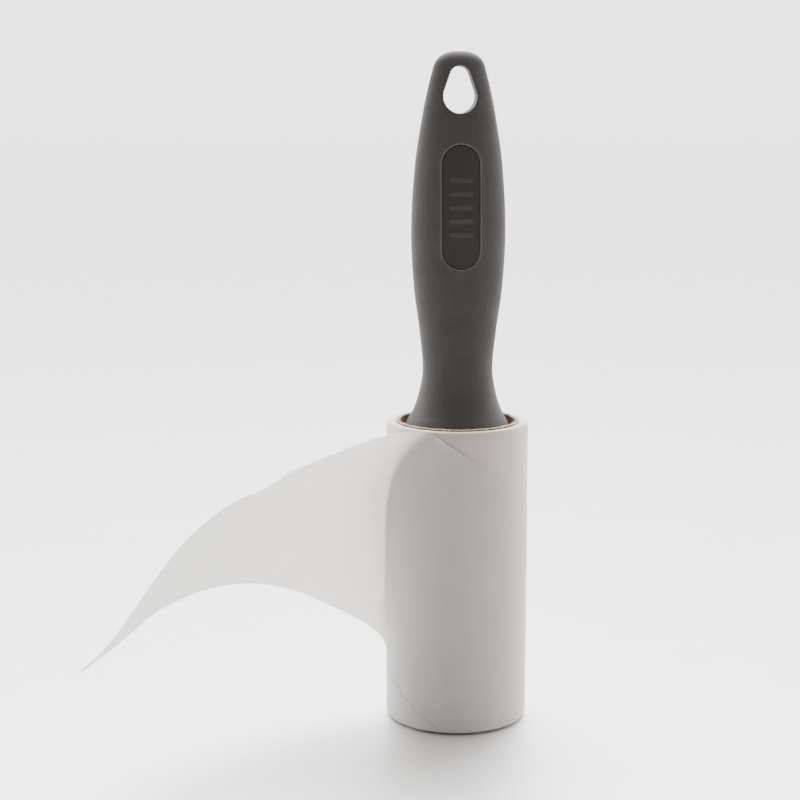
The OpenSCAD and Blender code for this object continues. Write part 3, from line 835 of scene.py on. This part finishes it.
def wound_grid():
    """Points over the part still wound, closer together beside its two cuts."""
    turns, heights = np.arange(-92, 344, 2.6), np.arange(SHEET_LOW + 1.5, SHEET_HIGH - 0.8, 3.0)
    t, z = [g.ravel() for g in np.meshgrid(turns, heights)]
    by_tear = [[(t, tear_height(t) - below) for t in np.arange(-21, 262, 2.6)] for below in CUT_ROWS]
    by_lead = [[(t, lead_height(t) + above) for t in np.arange(-88, -17, 2.6)] for above in CUT_ROWS]
    return np.concatenate([np.stack([t, z], axis=1), *by_tear, *by_lead])


def standing_off(turns, z):
    """How far the wound part stands off the roll beside its two cuts."""
    run = np.maximum((turns - TEAR_TOP) * PER_DEGREE, 0)
    from_tear = np.clip(1 - (tear_height(turns) - z) / 2.2, 0, 1) ** 2
    off = (0.03 + 0.30 * np.exp(-((run / 11) ** 2))) * from_tear * np.clip(run / 1.5, 0, 1)
    from_lead = np.clip(1 - (z - lead_height(turns)) / 2.0, 0, 1) ** 2
    return off + 0.16 * from_lead * (turns < LEAD_LOW) * np.clip((turns - PEEL_LOW) / 8, 0, 1)


def beside_cut(turns, z):
    """Which places lie on the narrow strip along the lead cut and the start of the tear that is painted
    darker, a painted shadow line beside the cut.
    """
    by_lead = (turns < LEAD_LOW) & (z - lead_height(turns) < CUT_BAND)
    return by_lead | ((turns < 9) & (tear_height(turns) - z < CUT_BAND))


def top_sheet():
    """The whole top sheet in one piece: the part still wound, the fold and the lifted end."""
    to_flat = [PER_DEGREE, 1]
    border = wound_border() * to_flat
    grid = wound_grid() * to_flat
    grid = grid[inside(border, grid)]
    places, triangles, origins = triangulated(np.concatenate([border, grid]), [list(range(len(border)))])
    middles = np.array([places[list(f)].mean(0) for f in triangles])
    kept = inside(border, middles)
    # Faces on the strip beside the cuts take the darker cut material, a painted shadow line along the cut.
    cut_shadow = beside_cut(middles[kept, 0] / PER_DEGREE, middles[kept, 1])
    turns, z = places[:, 0] / PER_DEGREE, places[:, 1]
    wound_part = on_roll(turns, SHEET_MID_R + standing_off(turns, z) - tuck(z), z)
    skin = Skin(wound_part, [f for f, ok in zip(triangles, kept) if ok])
    number = numbers_of(origins)
    row = [number[k] for k in range(FOLD_ROWS + 1)]
    for u in np.linspace(0, 1, 27)[1:]:
        row = skin.join(row, np.array([fold_point(v, u) for v in V_ROWS]), closed=False)
    for t in np.linspace(0, len(LIFT) - 1, 90)[1:]:
        row = skin.join(row, np.array([curled(t, v) for v in V_ROWS]), closed=False)
    kinds = [int(k) for k in cut_shadow] + [0] * (len(skin.faces) - len(cut_shadow))
    return piece("top_sheet_paper", skin.points(), skin.faces, [PAPER_TOP, PAPER_CUT_SHADOW], 60, kinds)


sheet = top_sheet()
solidify = sheet.modifiers.new("thickness", "SOLIDIFY")
solidify.thickness = WEB_T / 1000
solidify.offset = 0
bpy.context.view_layer.objects.active = sheet
sheet.select_set(True)
bpy.ops.object.modifier_apply(modifier=solidify.name)
sheet.data.set_sharp_from_angle(angle=math.radians(60))
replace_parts(sheet, "top_sheet", "sheet_fold", "sheet_flap")
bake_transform(sheet)

# ---------- carried-over CAD nodes ----------

for node, material in {
    "spindle": NYLON, "thrust_washer": NYLON, "arbor_cage": NYLON, "arbor_end_cap": CAP_GREY,
    "retaining_washer": STEEL, "retaining_screw": STEEL,
}.items():
    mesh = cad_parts[node].data
    mesh.materials.clear()
    mesh.materials.append(material)

# ---------- floor, light and camera ----------

floor_paint = Paint("floor_paint", (0.86, 0.86, 0.86), 0.5, Metallic=0.85, Specular_IOR_Level=0.2)
floor_paint.color(floor_paint.ramp(floor_paint.noise(30, 3), (0.3, 0.85), (0.7, 0.87)))
FLOOR_HALF = 12000
corners = np.array([[-1, -1, 0], [1, -1, 0], [1, 1, 0], [-1, 1, 0]]) * FLOOR_HALF
floor = piece("floor", corners, [(0, 1, 2, 3)], [floor_paint.material])
floor.location.z = -0.0003

# Light comes from behind and from the sides, as with a lit backdrop, and little from the front.
BEHIND = (0.06, 0.998, 0.0)
AROUND = [(0.0, 0.03), (0.25, 0.05), (0.50, 0.60), (0.75, 1.0)]
AROUND_STRENGTH, BACKDROP_STRENGTH = 4.3, 3.2


def studio():
    """The world: the light from around, and an even pale backdrop where the camera sees it."""
    world = bpy.data.worlds.new("studio")
    bpy.context.scene.world = world
    world.use_nodes = True
    nodes, links = world.node_tree.nodes, world.node_tree.links
    facing = nodes.new("ShaderNodeVectorMath")
    facing.operation = "DOT_PRODUCT"
    facing.inputs[1].default_value = BEHIND
    links.new(nodes.new("ShaderNodeTexCoord").outputs["Generated"], facing.inputs[0])
    share = nodes.new("ShaderNodeMath")
    share.operation = "MULTIPLY_ADD"
    share.inputs[1].default_value = 0.5
    share.inputs[2].default_value = 0.5
    links.new(facing.outputs["Value"], share.inputs[0])
    ramp = nodes.new("ShaderNodeValToRGB")
    while len(ramp.color_ramp.elements) < len(AROUND):
        ramp.color_ramp.elements.new(0.5)
    for element, (at, tone) in zip(ramp.color_ramp.elements, AROUND):
        element.position = at
        element.color = (tone, tone, tone, 1)
    links.new(share.outputs["Value"], ramp.inputs["Fac"])
    around = nodes["Background"]
    around.inputs["Strength"].default_value = AROUND_STRENGTH
    links.new(ramp.outputs["Color"], around.inputs["Color"])
    backdrop = nodes.new("ShaderNodeBackground")
    backdrop.inputs["Color"].default_value = (1, 1, 1, 1)
    backdrop.inputs["Strength"].default_value = BACKDROP_STRENGTH
    pick = nodes.new("ShaderNodeMixShader")
    links.new(nodes.new("ShaderNodeLightPath").outputs["Is Camera Ray"], pick.inputs["Fac"])
    links.new(around.outputs["Background"], pick.inputs[1])
    links.new(backdrop.outputs["Background"], pick.inputs[2])
    links.new(pick.outputs["Shader"], nodes["World Output"].inputs["Surface"])


studio()


def softbox(name, place_at, target, size, power):
    """A rectangular area light at place_at that faces the target."""
    light = bpy.data.lights.new(name, "AREA")
    light.shape = "RECTANGLE"
    light.size, light.size_y = size
    light.energy = power
    made = bpy.data.objects.new(name, light)
    made.location = place_at
    made.rotation_euler = (Vector(target) - Vector(place_at)).to_track_quat("-Z", "Y").to_euler()
    bpy.context.scene.collection.objects.link(made)


softbox("top_box", (0.0, 0.4, 0.9), (0, 0, 0.1), (0.8, 0.5), 18)

EYE_AT, EYE_LENS, EYE_PITCH = (-0.0466, -0.5584, 0.2046), 76.0, math.radians(9.67)
EYE_RIGHT, EYE_FORWARD = 0.04885, 0.99881

camera = bpy.data.cameras.new("camera")
camera.lens = EYE_LENS
camera.sensor_width = 36.0
eye = bpy.data.objects.new("camera", camera)
eye.location = EYE_AT
level = math.cos(EYE_PITCH)
look = Vector((EYE_RIGHT * level, EYE_FORWARD * level, -math.sin(EYE_PITCH)))
eye.rotation_euler = look.to_track_quat("-Z", "Y").to_euler()
bpy.context.scene.collection.objects.link(eye)
bpy.context.scene.camera = eye
